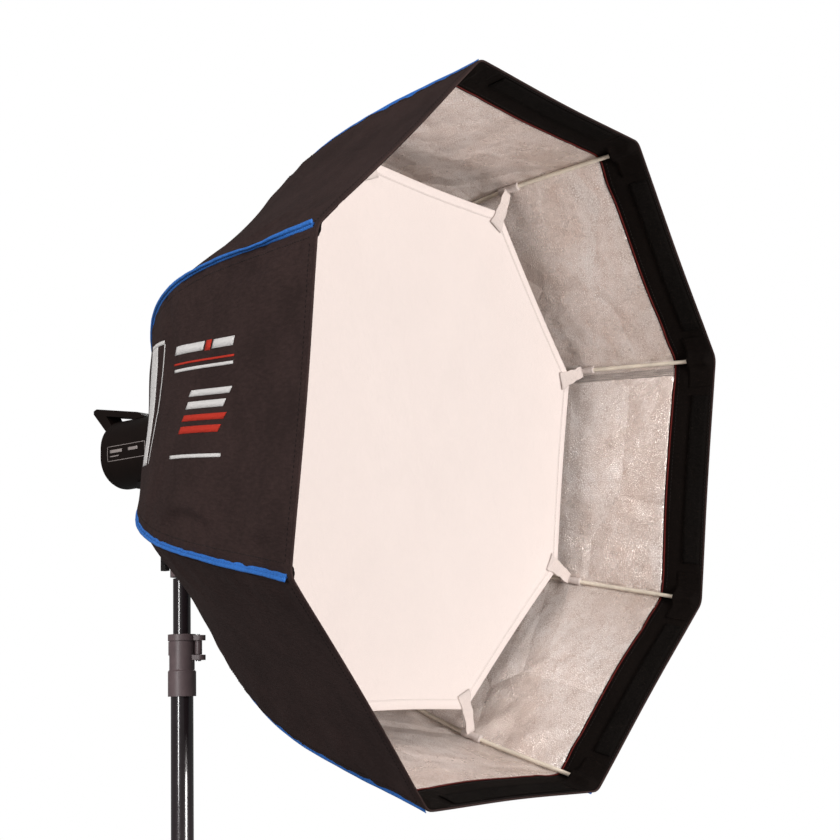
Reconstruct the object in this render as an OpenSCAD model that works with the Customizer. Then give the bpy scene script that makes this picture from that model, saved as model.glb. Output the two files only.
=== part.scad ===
// Octagonal studio softbox on a continuous-light lamp head and a folding light stand.
// Frame: origin on the floor under the column, +Z up, the softbox opens towards -Y. Millimetres.

/* [Softbox] */
// Corner radius of the octagonal front rim
rim_r = 400; // [360:5:420]
// Depth from the front rim to the back edge of the fabric
shell_depth = 485; // [470:5:500]
// Corner radius of the inner diffuser
diffuser_r = 318; // [300:2:320]
// Distance of the inner diffuser behind the front rim
diffuser_back = 167; // [150:1:180]
// Width of the black lip in front of the silver lining
lip_w = 49; // [40:1:60]
// Diameter of the ribs
rib_d = 5; // [4:0.5:6]
// How far the blue seam binding stands out
binding_h = 8; // [5:1:10]

/* [Lamp] */
// Downward tilt of the lamp at rest, in degrees
head_tilt = 0; // [-10:1:10]
// How far the softbox hangs below the lamp's axis, in degrees
droop = 7; // [0:1:8]
// Width of the lamp housing
lamp_w = 80; // [78:1:84]
// Height of the lamp housing
lamp_h = 90; // [86:1:92]
// Length of the lamp housing tube
lamp_len = 120; // [112:1:126]
// Height of the lamp's axis above the tilt pivot
axis_h = 84; // [84:1:90]

/* [Stand] */
// Height of the tilt pivot above the floor
pivot_z = 1400; // [1380:5:1420]
// Outer diameters of the three column tubes
top_d = 22; // [22:1:22]
// Outer diameter of the middle tube
middle_d = 28; // [28:1:28]
// Outer diameter of the bottom tube
bottom_d = 34; // [34:1:34]
// Length of a leg from its pivot to the foot
leg_len = 680; // [660:5:700]
// Length of a brace, and its distance down the leg
brace_len = 300; // [290:5:305]
// Angle of the open legs from the vertical
leg_angle = 53; // [50:1:55]

/* [Hidden] */
$fn = 64;

// Colours
black_cloth = [0.07, 0.06, 0.06];
silver_cloth = [0.78, 0.76, 0.74];
white_cloth = [0.93, 0.90, 0.87];
binding_blue = [0.10, 0.35, 0.75];
ivory = [0.82, 0.80, 0.70];
black_plastic = [0.13, 0.11, 0.11];
black_paint = [0.10, 0.09, 0.09];
steel = [0.72, 0.72, 0.72];
alu = [0.62, 0.62, 0.63];

// Softbox surfaces, as distances inwards from the seam line
cloth_t = 1.2;
lining_in = 1.5;
lining_t = 1.0;
rib_in = 7.5;
corner_turn = 22.5;
corners = [0:45:315];

// Where the softbox's axis leaves the lamp's axis, forwards from the column
bend = 13;

// Places along the softbox's axis, forwards from the bend
rim_z = 542;
back_z = rim_z - shell_depth;
back_r = 78;
mount_z = 37;

// Places along the lamp's axis, forwards from the column
front_z = 22;
rear_z = front_z - lamp_len;
cover_len = 14;
face_z = rear_z - cover_len;

// The lamp housing stands a little above the light's axis
lamp_rise = 2;
lamp_corner = 39;
lamp_wall = 2.5;
umbrella_z = 26;

// Speed ring and its rotating insert
ring_r = 76;
ring_bore = 58;
ring_z0 = 43.6;
ring_t = 13;
insert_bore = 44;
play = 0.3;
post_r = 4;
post_len = 28;

// Stand joints
wall = 1.5;
clamp_h = 77;
clamp_sleeve = 33;
clamp_grip = 30;
lug_turn = -57;
upper_clamp_z = pivot_z - 231;
column_top = 760;
lower_clamp_z = column_top - clamp_grip;
column_z0 = 30;
middle_z0 = 620;
top_end = pivot_z - 84;
top_len = 600;
ear_r = 38;
foot_pad = 9;
leg_pivot_z = foot_pad + leg_len * cos(leg_angle);
brace_pivot_z = leg_pivot_z - 2 * brace_len * cos(leg_angle);
leg_turns = [-90, 30, 150];
leg_d = 16;
tongue = 9;

// ---- Placement -------------------------------------------------------------------

// Tilt frame: origin at the tilt pivot, -Y forwards
module tilted() {
    translate([0, 0, pivot_z]) rotate([head_tilt, 0, 0]) children();
}

// Lamp frame: local Z runs forwards along the lamp's axis, local Y is up
module lamp_frame() {
    tilted() translate([0, 0, axis_h]) rotate([90, 0, 0]) children();
}

// Optical frame: the same for the softbox and its mount, which droop a little
module optical() {
    lamp_frame() translate([0, 0, bend]) rotate([droop, 0, 0]) children();
}

// Frame of one leg: local X runs outwards
module at_leg(i) {
    rotate([0, 0, leg_turns[i]]) children();
}

// ---- Seam line -------------------------------------------------------------------

// Bent line of a rib from the front rim to the back ring, as [radius, distance forwards]
seam_a = [rim_r, rim_z];
seam_b = [rim_r - 50, rim_z - 0.381 * shell_depth];
seam_c = [rim_r - 32, rim_z - 0.670 * shell_depth];
seam_d = [back_r, back_z];

function seam(t) = pow(1 - t, 3) * seam_a + 3 * pow(1 - t, 2) * t * seam_b
    + 3 * (1 - t) * t * t * seam_c + pow(t, 3) * seam_d;
function seam_slope(t) = 3 * pow(1 - t, 2) * (seam_b - seam_a)
    + 6 * (1 - t) * t * (seam_c - seam_b) + 3 * t * t * (seam_d - seam_c);
function unit(v) = v / norm(v);
// Square to the seam line, pointing out of the softbox
function seam_out(t) = let (d = unit(seam_slope(t))) [-d[1], d[0]];
function seam_at(t, out) = seam(t) + out * seam_out(t);
function steps(t0, t1, n) = [for (i = [0:n]) t0 + (t1 - t0) * i / n];
// Share of the seam line at which it lies a given depth behind the rim
function share_at(depth, lo = 0, hi = 1, n = 24) =
    n == 0 ? (lo + hi) / 2
    : rim_z - seam((lo + hi) / 2)[1] < depth ? share_at(depth, (lo + hi) / 2, hi, n - 1)
    : share_at(depth, lo, (lo + hi) / 2, n - 1);

lip_share = share_at(lip_w);
tail_share = 0.985;

// Stations shared by every skin, so that the layers keep their distance
stations = concat([lip_share / 2], steps(lip_share, tail_share, 15));
function reversed(v) = [for (i = [len(v) - 1:-1:0]) v[i]];

// Band of the seam line between two distances from it, as a closed outline
function band(t0, t1, near, far) = let (
        ts = concat([t0], [for (t = stations) if (t > t0 + 0.004 && t < t1 - 0.004) t], [t1]))
    concat([for (t = ts) seam_at(t, near)], [for (t = reversed(ts)) seam_at(t, far)]);

// Eight-sided skin following the seam line
module octagon_skin(t0, t1, near, far) {
    rotate([0, 0, corner_turn]) rotate_extrude($fn = 8) polygon(band(t0, t1, near, far));
}

// Children placed in each corner plane, with local X outwards
module at_corners() {
    for (a = corners) rotate([0, 0, a + corner_turn]) children();
}

// ---- Softbox ---------------------------------------------------------------------

// One sewn panel of the shell, which stops just short of the corner planes
module shell_panel(gap) {
    intersection() {
        octagon_skin(0, 1, 0, -cloth_t);
        linear_extrude(height = 1000) polygon([
            for (side = [-1, 1]) each (side < 0
                ? [[0, 0] + gap * [1, 0], 600 * [cos(corner_turn), -sin(corner_turn)] + [0, gap]]
                : [600 * [cos(corner_turn), sin(corner_turn)] - [0, gap]])
        ]);
    }
}

module outer_shell() {
    color(black_cloth) optical() for (a = corners) rotate([0, 0, a]) shell_panel(0.4);
}

module silver_lining() {
    color(silver_cloth) optical()
        octagon_skin(lip_share + 0.002, tail_share, -lining_in, -lining_in - lining_t);
}

module front_lip() {
    color(black_cloth) optical() octagon_skin(0.002, lip_share, -lining_in, -lining_in - lining_t);
}

// Flat hook tape on the inside of the lip, one length on each side of the octagon
module hook_tape() {
    tape_l = 210;
    tape_t0 = share_at(6);
    tape_t1 = share_at(26);
    color(black_cloth) optical() for (a = corners) rotate([0, 0, a]) intersection() {
        octagon_skin(tape_t0, tape_t1, -3, -4.2);
        translate([200, -tape_l / 2, rim_z - 60]) cube([220, tape_l, 80]);
    }
}

// Blue tape bound over each seam, standing out like a fin
module seam_binding() {
    binding_t = 1.6;
    color(binding_blue) optical() at_corners()
        translate([0, binding_t / 2, 0]) rotate([90, 0, 0]) linear_extrude(height = binding_t)
            polygon(band(share_at(7), tail_share, 0.3, binding_h));
}

// Rounded tube swept along points, used for the bent ribs
function ring_at(p, d, r, n) = let (
        u = unit(cross(d, [0, 1, 0])),
        v = unit(cross(d, u)))
    [for (k = [0:n - 1]) p + r * (cos(360 * k / n) * u + sin(360 * k / n) * v)];

module sweep(points, slopes, r, n) {
    m = len(points);
    polyhedron(
        points = [for (i = [0:m - 1]) each ring_at(points[i], slopes[i], r, n)],
        faces = concat(
            [[for (k = [0:n - 1]) k]],
            [for (i = [0:m - 2]) for (k = [0:n - 1])
                [i * n + k, (i + 1) * n + k, (i + 1) * n + (k + 1) % n, i * n + (k + 1) % n]],
            [[for (k = [n - 1:-1:0]) (m - 1) * n + k]]),
        convexity = 8);
}

function in_corner(p) = [p[0], 0, p[1]];

rib_tip = share_at(14);
rib_shares = steps(rib_tip, 1, 16);
rib_tail = seam_at(1, -rib_in) + 6 * unit(seam_slope(1));

module ribs() {
    points = concat([for (t = rib_shares) in_corner(seam_at(t, -rib_in))], [in_corner(rib_tail)]);
    slopes = concat([for (t = rib_shares) in_corner(unit(seam_slope(t)))],
                    [in_corner(unit(seam_slope(1)))]);
    color(ivory) optical() at_corners() sweep(points, slopes, rib_d / 2, 10);
}

// Turns local Z to run back along the seam line at one share of it, with local X inwards
module along_seam(t, inward) {
    p = seam_at(t, -inward);
    d = unit(seam_slope(t));
    translate(in_corner(p)) rotate([0, atan2(d[0], d[1]), 0]) children();
}

// Cloth pocket that holds the tip of each rib against the lip
module rib_pockets() {
    pocket_l = 22;
    color(black_cloth) optical() at_corners() along_seam(share_at(30), rib_in) difference() {
        translate([0, 0, -pocket_l]) linear_extrude(height = pocket_l)
            polygon([[-4, 0], [1, 11.5], [5, 11.5], [6, 0], [5, -11.5], [1, -11.5]]);
        translate([0, 0, -pocket_l + 3]) cylinder(d = rib_d + 1, h = pocket_l);
    }
}

module inner_diffuser() {
    color(white_cloth) optical() translate([0, 0, rim_z - diffuser_back])
        rotate([0, 0, corner_turn]) linear_extrude(height = 0.8) circle(r = diffuser_r, $fn = 8);
}

// Strap and sleeve that tie each corner of the diffuser to its rib
module diffuser_loops() {
    loop_share = share_at(diffuser_back);
    sleeve_l = 26;
    sleeve_r = 4.1;
    rib_r_here = seam_at(loop_share, -rib_in)[0];
    color(white_cloth) optical() at_corners() {
        translate([diffuser_r + 0.3, -11, rim_z - diffuser_back])
            cube([rib_r_here - sleeve_r - diffuser_r - 1.2, 22, 0.8]);
        along_seam(loop_share, rib_in) difference() {
            translate([0, 0, -sleeve_l / 2]) cylinder(r = sleeve_r, h = sleeve_l);
            translate([0, 0, -sleeve_l]) cylinder(r = rib_d / 2 + 0.6, h = 2 * sleeve_l);
        }
    }
}

// Elastic band that closes the fabric round the speed ring
module rear_collar() {
    color(black_cloth) optical() translate([0, 0, ring_z0 + 1]) difference() {
        cylinder(r = back_r, h = back_z - ring_z0 - 2.4);
        translate([0, 0, -1]) cylinder(r = ring_r + 0.4, h = 40);
        rotate([0, 0, 90]) translate([ring_r - 12, 0, 6]) rotate([0, 90, 0]) cylinder(d = 8, h = 20);
    }
}

// Ring that carries the eight ribs and turns on the insert
module speed_ring() {
    post_start = seam_at(1, -rib_in) + 14 * unit(seam_slope(1));
    color(alu) optical() difference() {
        union() {
            translate([0, 0, ring_z0]) cylinder(r = ring_r, h = ring_t);
            at_corners() translate(in_corner(post_start))
                rotate([0, atan2(-seam_slope(1)[0], -seam_slope(1)[1]), 0])
                    cylinder(r = post_r, h = post_len);
        }
        translate([0, 0, ring_z0 - 10]) cylinder(r = ring_bore, h = ring_t + 20);
        at_corners() translate(in_corner(rib_tail))
            rotate([0, atan2(-seam_slope(1)[0], -seam_slope(1)[1]), 0])
                cylinder(d = rib_d + 0.6, h = 2 * post_len);
        rotate([0, 0, 90]) translate([ring_r - 12, 0, ring_z0 + 7]) rotate([0, 90, 0])
            cylinder(d = 6.1, h = 20);
    }
}

module ring_lock_knob() {
    color(black_plastic) optical() rotate([0, 0, 90]) translate([0, 0, ring_z0 + 7]) rotate([0, 90, 0]) {
        translate([0, 0, ring_r - 11]) cylinder(d = 6, h = 16);
        translate([0, 0, ring_r + 4]) for (k = [0:5]) rotate([0, 0, 60 * k])
            translate([5, 0, 0]) cylinder(d = 7, h = 11);
        translate([0, 0, ring_r + 4]) cylinder(d = 14, h = 11);
    }
}

module mount_insert() {
    lug_turns = [30, 150, 270];
    color(steel) optical() difference() {
        union() {
            translate([0, 0, mount_z + play]) cylinder(r = 66, h = 6);
            translate([0, 0, mount_z + 6]) cylinder(r = ring_bore - play, h = ring_t + 0.9);
            for (a = lug_turns) rotate([0, 0, a]) intersection() {
                translate([0, 0, mount_z - 10]) cylinder(r = 46.6, h = 11);
                translate([30, -12, mount_z - 10]) cube([30, 24, 11]);
            }
        }
        translate([0, 0, mount_z - 20]) cylinder(r = insert_bore, h = 60);
    }
}

module insert_retainer() {
    color(alu) optical() translate([0, 0, ring_z0 + ring_t + 0.3]) difference() {
        cylinder(r = 59.5, h = 2);
        translate([0, 0, -1]) cylinder(r = insert_bore + 2, h = 4);
    }
}

// ---- Lamp head -------------------------------------------------------------------

module rounded_rect(w, h, r) {
    square([w - 2 * r, h], center = true);
    square([w, h - 2 * r], center = true);
    for (x = [-1, 1], y = [-1, 1]) translate([x * (w / 2 - r), y * (h / 2 - r)]) circle(r = r);
}

module lamp_block(z0, z1, inset) {
    translate([0, lamp_rise, z0]) linear_extrude(height = z1 - z0)
        rounded_rect(lamp_w - 2 * inset, lamp_h - 2 * inset, lamp_corner - inset);
}

module lamp_mount_ring() {
    ring_h = 12;
    color(steel) optical() translate([0, 0, mount_z - ring_h]) difference() {
        cylinder(r = 62, h = ring_h);
        translate([0, 0, -1]) cylinder(r = 47, h = 30);
        translate([40, -5, 3.6]) cube([30, 10, 30]);
    }
}

// Spring catch that keeps the accessory from turning out of the mount
module lamp_lock_slider() {
    color(steel) optical() translate([50.3, -4.6, mount_z - 8]) {
        cube([16, 9.2, 7.6]);
        translate([13, 0, -3]) cube([5, 9.2, 10.6]);
    }
}

module lamp_housing() {
    side_vents = 5;
    floor_vents = 6;
    color(black_paint) lamp_frame() difference() {
        lamp_block(rear_z, front_z, 0);
        lamp_block(rear_z - 1, front_z + 1, lamp_wall);
        for (side = [-1, 1], k = [0:side_vents - 1])
            translate([side * (lamp_w / 2) - 6, lamp_rise - 7, -19 + 7 * k]) cube([12, 14, 3.5]);
        for (side = [-1, 1], k = [0:floor_vents - 1])
            translate([side * 17 - 6, lamp_rise - lamp_h / 2 - 6, rear_z + 46 + 8 * k])
                cube([12, 18, 3.5]);
    }
}

// Front casting: widens from the housing to the mount, and leans over with it
module lamp_front_plate() {
    color(black_plastic) difference() {
        union() {
            hull() {
                lamp_frame() lamp_block(front_z + 0.2, front_z + 1.2, 0);
                optical() translate([0, 0, mount_z - 13.2]) cylinder(r = 62, h = 0.9);
            }
            lamp_frame() lamp_block(front_z - 8, front_z + 1, lamp_wall + 0.3);
        }
        lamp_frame() translate([0, 0, front_z - 20]) cylinder(r = 34, h = 60);
    }
}

// Rear cover: the housing's section with a bevelled control face
module lamp_rear_cover() {
    inner = 2.4;
    bevel = 1.5;
    color(black_plastic) lamp_frame() difference() {
        hull() {
            lamp_block(face_z + 3, rear_z - 0.2, 0);
            lamp_block(face_z, face_z + 1, bevel);
        }
        hull() {
            lamp_block(face_z + 3, rear_z + 1, inner);
            lamp_block(face_z + inner, face_z + inner + 1, inner + bevel);
        }
        translate([-11, -11, face_z - 1]) cube([22, 20, 10]);
        translate([-29.6, -9, face_z - 1]) cube([15.2, 18, 10]);
        translate([22, -3, face_z - 1]) cylinder(d = 6.4, h = 10);
        translate([22, 14, face_z - 1]) cylinder(d = 8.6, h = 10);
        translate([-13.6, -27, face_z - 1]) cube([27.2, 12, 10]);
    }
}

module display_window() {
    color([0.05, 0.07, 0.09]) lamp_frame() translate([-10.7, -10.7, face_z + 0.3])
        cube([21.4, 19.4, 1.8]);
}

module dimmer_knob() {
    grips = 18;
    color(black_plastic) lamp_frame() translate([22, -3, face_z - 12.5]) {
        difference() {
            cylinder(d = 15, h = 12);
            for (k = [0:grips - 1]) rotate([0, 0, 360 * k / grips]) translate([7.8, 0, -1])
                cylinder(d = 1.4, h = 12, $fn = 16);
        }
        cylinder(d = 5.6, h = 20);
    }
}

module mode_button() {
    color([0.35, 0.35, 0.36]) lamp_frame() translate([22, 14, face_z - 2.4]) cylinder(d = 8, h = 7);
}

module power_rocker() {
    color([0.55, 0.08, 0.06]) lamp_frame() translate([-22, 0, face_z + 1]) rotate([5, 0, 0]) {
        translate([-7, -8, -2.6]) cube([14, 16, 6.4]);
        translate([-7.4, 0, 0]) rotate([0, 90, 0]) cylinder(d = 2.4, h = 14.8);
    }
}

module power_inlet() {
    color(black_plastic) lamp_frame() translate([-13.3, -26.7, face_z - 0.6]) difference() {
        cube([26.6, 11.4, 15]);
        translate([2.3, 1.8, -1]) cube([22, 7.8, 12]);
    }
}

module heat_sink() {
    fins = 8;
    color(alu) lamp_frame() {
        translate([0, lamp_rise, -6]) linear_extrude(height = 6) rounded_rect(66, 70, 30);
        for (k = [0:fins - 1]) translate([-25.5 + 7 * k, lamp_rise - 28, -46]) cube([2, 56, 41]);
    }
}

module led_module() {
    color([0.95, 0.80, 0.25]) lamp_frame() {
        translate([-17, -17, 0.2]) cube([34, 34, 1.6]);
        translate([0, 0, 2]) cylinder(r = 12.5, h = 1.4);
    }
}

// Frosted protective dome over the emitter
module glass_dome() {
    dome_r = 31;
    dome_h = 38;
    color([0.9, 0.92, 0.95]) lamp_frame() translate([0, 0, 5]) rotate_extrude() polygon(concat(
        [for (a = [0:6:90]) [dome_r * cos(a), dome_h * sin(a)]],
        [for (a = [90:-6:0]) [(dome_r - 2) * cos(a), (dome_h - 2) * sin(a)]]));
}

module fan_frame() {
    color(black_plastic) lamp_frame() translate([0, lamp_rise, rear_z + 8]) difference() {
        cylinder(r = 35, h = 18);
        translate([0, 0, -1]) cylinder(r = 32, h = 30);
    }
}

module fan_rotor() {
    blades = 7;
    color(black_plastic) lamp_frame() translate([0, lamp_rise, rear_z + 10]) {
        cylinder(r = 14, h = 14);
        for (k = [0:blades - 1]) rotate([0, 0, 360 * k / blades]) translate([12, 0, 7])
            rotate([35, 0, 0]) translate([0, -7, -1]) cube([17, 14, 1.8]);
    }
}

// Carrying handle: a bar that rises from the top of the lamp and comes back to its rear face
module lamp_handle() {
    handle_w = 26;
    top = lamp_rise + lamp_h / 2;
    color(black_plastic) lamp_frame() difference() {
        rotate([0, -90, 0]) translate([0, 0, -handle_w / 2]) linear_extrude(height = handle_w) polygon([
            [-57, top - 3], [-57, top + 0.3], [-70, top + 7], [-151, top + 21.5], [-157, top + 19.5],
            [-157, top + 15], [face_z - 0.3, 15], [face_z - 0.3, 31], [-132, 56.5],
            [-80, top + 0.3], [-80, top - 3]]);
        lamp_block(rear_z - 10, front_z, -play);
    }
}

module lamp_screws() {
    places = [[23, 27], [-23, 27], [22, -17], [-22, -17]];
    color(steel) lamp_frame() for (p = places) translate([p[0], p[1], face_z - 1.8]) difference() {
        cylinder(d = 5, h = 1.6);
        translate([0, 0, -1]) cylinder(d = 2.5, h = 1.8, $fn = 6);
    }
}

// ---- Tilt joint ------------------------------------------------------------------

// Foot cast under the housing, with the pivot hole and a hole for an umbrella shaft
module tilt_foot() {
    foot_top = axis_h + lamp_rise - lamp_h / 2 - play;
    color(black_paint) tilted() difference() {
        union() {
            translate([-10, -22, 8]) cube([20, 44, foot_top - 13]);
            translate([-18, -20, foot_top - 5]) cube([36, 84, 9]);
            rotate([0, 90, 0]) translate([0, 0, -10]) cylinder(r = 14, h = 20);
        }
        rotate([0, 90, 0]) translate([0, 0, -20]) cylinder(r = 4.05, h = 40);
        translate([0, 40, umbrella_z]) rotate([90, 0, 0]) cylinder(r = 4.2, h = 80);
        translate([0, 0, axis_h]) rotate([90, 0, 0]) lamp_block(rear_z, front_z, -play);
    }
}

// Fork that holds the foot and clamps on the spigot
module tilt_bracket() {
    color(black_plastic) translate([0, 0, pivot_z]) difference() {
        union() {
            for (side = [-1, 1]) {
                translate([side * 14.4 - 4, 0, 0]) rotate([0, 90, 0]) cylinder(r = 14, h = 8);
                translate([side * 14.4 - 4, -14, -26]) cube([8, 28, 26]);
            }
            translate([-18.4, -14, -34]) cube([36.8, 28, 17]);
            translate([0, 0, -82]) cylinder(r = 14.5, h = 56);
            translate([0, 0, -58]) rotate([-90, 0, 0]) cylinder(r = 8, h = 23);
        }
        translate([0, 0, 0]) rotate([0, 90, 0]) translate([0, 0, -30]) cylinder(r = 4.05, h = 60);
        translate([0, 0, -90]) cylinder(r = 8, h = 56);
        translate([0, 0, -58]) rotate([-90, 0, 0]) cylinder(r = 3.05, h = 40);
    }
}

module tilt_bolt() {
    color(steel) translate([0, 0, pivot_z]) rotate([0, 90, 0]) {
        translate([0, 0, -18.7]) cylinder(r = 4, h = 44);
        translate([0, 0, -24.7]) cylinder(r = 7.5, h = 6, $fn = 6);
    }
}

// Ratchet handle that locks the tilt
module tilt_lever() {
    color(black_plastic) translate([0, 0, pivot_z]) difference() {
        union() {
            translate([19, 0, 0]) rotate([0, 90, 0]) cylinder(r = 11, h = 15);
            translate([24, 0, 0]) rotate([-75, 0, 0]) {
                translate([0, 0, -5]) cube([9, 62, 10]);
                translate([0, 62, 0]) rotate([0, 90, 0]) cylinder(r = 5, h = 9);
            }
        }
        translate([10, 0, 0]) rotate([0, 90, 0]) cylinder(r = 4.05, h = 30);
    }
}

module spigot_knob() {
    color(black_plastic) translate([0, 0, pivot_z - 58]) rotate([-90, 0, 0]) {
        translate([0, 0, 8.3]) cylinder(r = 3, h = 18);
        translate([0, 0, 23.3]) cylinder(r = 7.5, h = 7);
        translate([-4, -14, 27]) cube([8, 28, 8]);
    }
}

// ---- Column ----------------------------------------------------------------------

module tube(r, z0, z1) {
    translate([0, 0, z0]) difference() {
        cylinder(r = r, h = z1 - z0);
        translate([0, 0, -1]) cylinder(r = r - wall, h = z1 - z0 + 2);
    }
}

// Steel stud with the groove that the bracket's screw bites
module spigot() {
    stud_r = 7.9;
    color(steel) {
        translate([0, 0, top_end - 30]) cylinder(r = top_d / 2 - wall - 0.05, h = 30);
        translate([0, 0, top_end]) cylinder(r = stud_r, h = 17);
        translate([0, 0, top_end + 17]) cylinder(r = stud_r - 1.6, h = 18);
        translate([0, 0, top_end + 35]) cylinder(r = stud_r, h = 12);
    }
}

module top_tube() { color(black_paint) tube(top_d / 2, top_end - top_len, top_end); }
module middle_tube() { color(black_paint) tube(middle_d / 2, middle_z0, upper_clamp_z + clamp_grip); }
module column_tube() { color(black_paint) tube(bottom_d / 2, column_z0, column_top); }

// Split clamp that closes on the inner tube: outer_r is the tube that it sits on
module clamp_body(outer_r, inner_r) {
    lug_x = outer_r + 16;
    pin_x = outer_r + 7;
    difference() {
        union() {
            cylinder(r = outer_r + 3.5, h = clamp_sleeve - 2);
            translate([0, 0, clamp_sleeve - 2]) cylinder(r1 = outer_r + 3.5, r2 = outer_r + 1.8, h = 2);
            translate([0, 0, clamp_sleeve]) cylinder(r = outer_r + 1.8, h = 37);
            translate([0, 0, 69]) cylinder(r = outer_r + 3.5, h = 8);
            for (z = [44.5, 69]) translate([0, 0, z]) {
                translate([0, -7, 0]) cube([lug_x - 7, 14, 6.5]);
                translate([lug_x - 7, 0, 0]) cylinder(r = 7, h = 6.5);
            }
        }
        translate([0, 0, -1]) cylinder(r = outer_r + 0.05, h = clamp_grip + 1);
        translate([0, 0, -1]) cylinder(r = inner_r + play, h = clamp_h + 2);
        translate([pin_x, 0, 40]) cylinder(r = 2.1, h = 40);
        translate([0, -1, 51]) cube([outer_r + 5, 2, 18]);
    }
}

// Lever whose barrel turns between the clamp's lugs, with an arm round the tube
module clamp_lever(outer_r) {
    pin_x = outer_r + 7;
    arm_r = outer_r + 2.6;
    difference() {
        union() {
            translate([pin_x, 0, 51.4]) cylinder(r = 4.6, h = 17.2);
            intersection() {
                translate([0, 0, 51.4]) difference() {
                    cylinder(r = arm_r + 4, h = 17.2);
                    translate([0, 0, -1]) cylinder(r = arm_r, h = 20);
                }
                translate([0, 0, 40]) linear_extrude(height = 40)
                    polygon([[0, 0], [60, 4], [60, 60], [-60, 60], [-60, 22]]);
            }
        }
        translate([pin_x, 0, 40]) cylinder(r = 2.1, h = 40);
        translate([0, 0, 40]) cylinder(r = outer_r + 2.3, h = 40);
    }
}

module clamp_pin(outer_r) {
    translate([outer_r + 7, 0, 43.2]) {
        cylinder(r = 2, h = 33.6);
        cylinder(r = 3.4, h = 1.2);
    }
}

module at_clamp(z) { translate([0, 0, z]) rotate([0, 0, lug_turn]) children(); }

module upper_clamp() { color(black_plastic) at_clamp(upper_clamp_z) clamp_body(middle_d / 2, top_d / 2); }
module upper_lever() { color(black_plastic) at_clamp(upper_clamp_z) clamp_lever(middle_d / 2); }
module upper_pin() { color(steel) at_clamp(upper_clamp_z) clamp_pin(middle_d / 2); }
module lower_clamp() { color(black_plastic) at_clamp(lower_clamp_z) clamp_body(bottom_d / 2, middle_d / 2); }
module lower_lever() { color(black_plastic) at_clamp(lower_clamp_z) clamp_lever(bottom_d / 2); }
module lower_pin() { color(steel) at_clamp(lower_clamp_z) clamp_pin(bottom_d / 2); }

module column_plug() {
    color(black_plastic) {
        translate([0, 0, column_z0 - 6]) cylinder(r = bottom_d / 2, h = 5.8);
        translate([0, 0, column_z0 - 1]) cylinder(r = bottom_d / 2 - wall - 0.2, h = 20);
    }
}

// ---- Tripod ----------------------------------------------------------------------

// Pair of ears on each leg azimuth, open above and below
module ears(z0, h) {
    for (i = [0:2]) at_leg(i) for (side = [-1, 1])
        translate([0, side * (tongue / 2 + 3.3) - 3, 0]) difference() {
            union() {
                translate([16, 0, z0]) cube([ear_r - 16, 6, h]);
                translate([ear_r, 0, z0 + h / 2]) rotate([-90, 0, 0]) cylinder(r = h / 2, h = 6);
            }
        }
}

module brace_collar() {
    stub = 1.6;
    color(black_plastic) difference() {
        union() {
            translate([0, 0, brace_pivot_z - 15]) cylinder(r = 23, h = 30);
            ears(brace_pivot_z - 9, 18);
            for (i = [0:2]) at_leg(i) for (side = [-1, 1])
                translate([ear_r, side * (tongue / 2 + 6.3), brace_pivot_z])
                    rotate([-90 * side, 0, 0]) cylinder(r = 4, h = stub);
        }
        translate([0, 0, brace_pivot_z - 40]) cylinder(r = bottom_d / 2 + 0.05, h = 80);
        for (i = [0:2]) at_leg(i) translate([25.5, -tongue / 2 - 0.3, brace_pivot_z - 40]) cube([40, tongue + 0.6, 80]);
    }
}

module leg_collar() {
    color(black_plastic) difference() {
        union() {
            translate([0, 0, leg_pivot_z - 22]) cylinder(r = 25, h = 44);
            ears(leg_pivot_z - 10, 20);
            translate([0, 0, leg_pivot_z]) rotate([-90, 0, 0]) cylinder(r = 9, h = 38);
        }
        translate([0, 0, leg_pivot_z - 40]) cylinder(r = bottom_d / 2 + play, h = 80);
        for (i = [0:2]) at_leg(i) {
            translate([26, -tongue / 2 - 0.3, leg_pivot_z - 40]) cube([40, tongue + 0.6, 80]);
            translate([ear_r, 30, leg_pivot_z]) rotate([90, 0, 0]) cylinder(r = 3.05, h = 60);
        }
        translate([0, 0, leg_pivot_z]) rotate([-90, 0, 0]) cylinder(r = 3.05, h = 60);
    }
}

module leg_collar_knob() {
    color(black_plastic) translate([0, 0, leg_pivot_z]) rotate([-90, 0, 0]) {
        translate([0, 0, bottom_d / 2 + 1]) cylinder(r = 3, h = 24);
        translate([0, 0, 38.3]) cylinder(r = 10, h = 12);
        translate([-24, -5.5, 42]) cube([48, 11, 15]);
    }
}

module leg_pins() {
    color(steel) for (i = [0:2]) at_leg(i) translate([ear_r, 0, leg_pivot_z]) rotate([90, 0, 0]) {
        translate([0, 0, -tongue / 2 - 6.4]) cylinder(r = 3, h = tongue + 12.8);
        for (z = [-tongue / 2 - 8.2, tongue / 2 + 6.4]) translate([0, 0, z]) cylinder(r = 5, h = 1.8);
    }
}

// Local X runs down the leg from its pivot
module down_leg(i) {
    at_leg(i) translate([ear_r, 0, leg_pivot_z]) rotate([0, 90 - leg_angle, 0]) children();
}

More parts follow.
